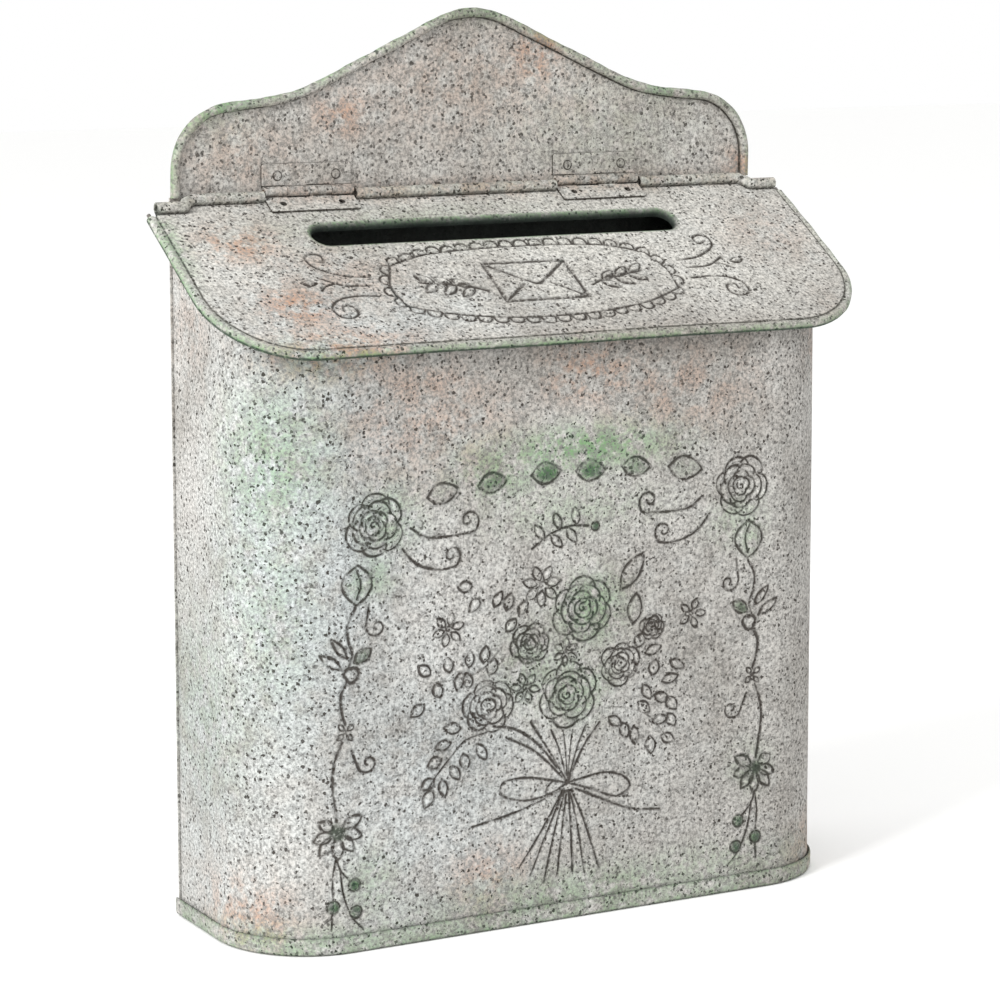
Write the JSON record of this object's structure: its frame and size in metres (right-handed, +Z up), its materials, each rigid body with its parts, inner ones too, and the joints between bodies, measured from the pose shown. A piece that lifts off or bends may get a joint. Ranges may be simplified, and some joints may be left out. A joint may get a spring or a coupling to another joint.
{
  "type": "wall mounted mailbox",
  "caption": "Wall mailbox in distressed painted sheet steel: shaped back panel, sloping hinged lid with a letter slot, rounded front with embossed flowers.",
  "frame": {"origin": "half-way between the two wall screws, on the wall plane (the rear face of the back panel)", "axes": "+X to the right as seen from the front, +Y into the wall, +Z up"},
  "size_m": [0.2856, 0.082, 0.3492],
  "materials": {
    "painted_sheet": "matte distressed grey paint with dark speckle, green and rust patches",
    "painted_hinge": "matte distressed grey paint",
    "hem_wire": "bright drawn wire, hidden in the hems",
    "hinge_pin": "dull drawn wire"
  },
  "bodies": {
    "root": {"back_panel": "painted_sheet", "crown_wire": "hem_wire", "front_shell": "painted_sheet", "bottom_pan": "painted_sheet", "left_hinge_back_leaf": "painted_hinge", "right_hinge_back_leaf": "painted_hinge", "left_hinge_pin": "hinge_pin", "right_hinge_pin": "hinge_pin", "hinge_rivets": "painted_hinge"},
    "lid": {"lid_panel": "painted_sheet", "lid_edge_wire": "hem_wire", "left_hinge_lid_leaf": "painted_hinge", "right_hinge_lid_leaf": "painted_hinge"}
  },
  "joints": [
    {"name": "lid_hinge", "type": "hinge", "parent": "root", "child": "lid", "pos_m": [0, -0.0031, 0.04], "axis": [-1, 0, 0], "range_deg": [0, 100]}
  ]
}
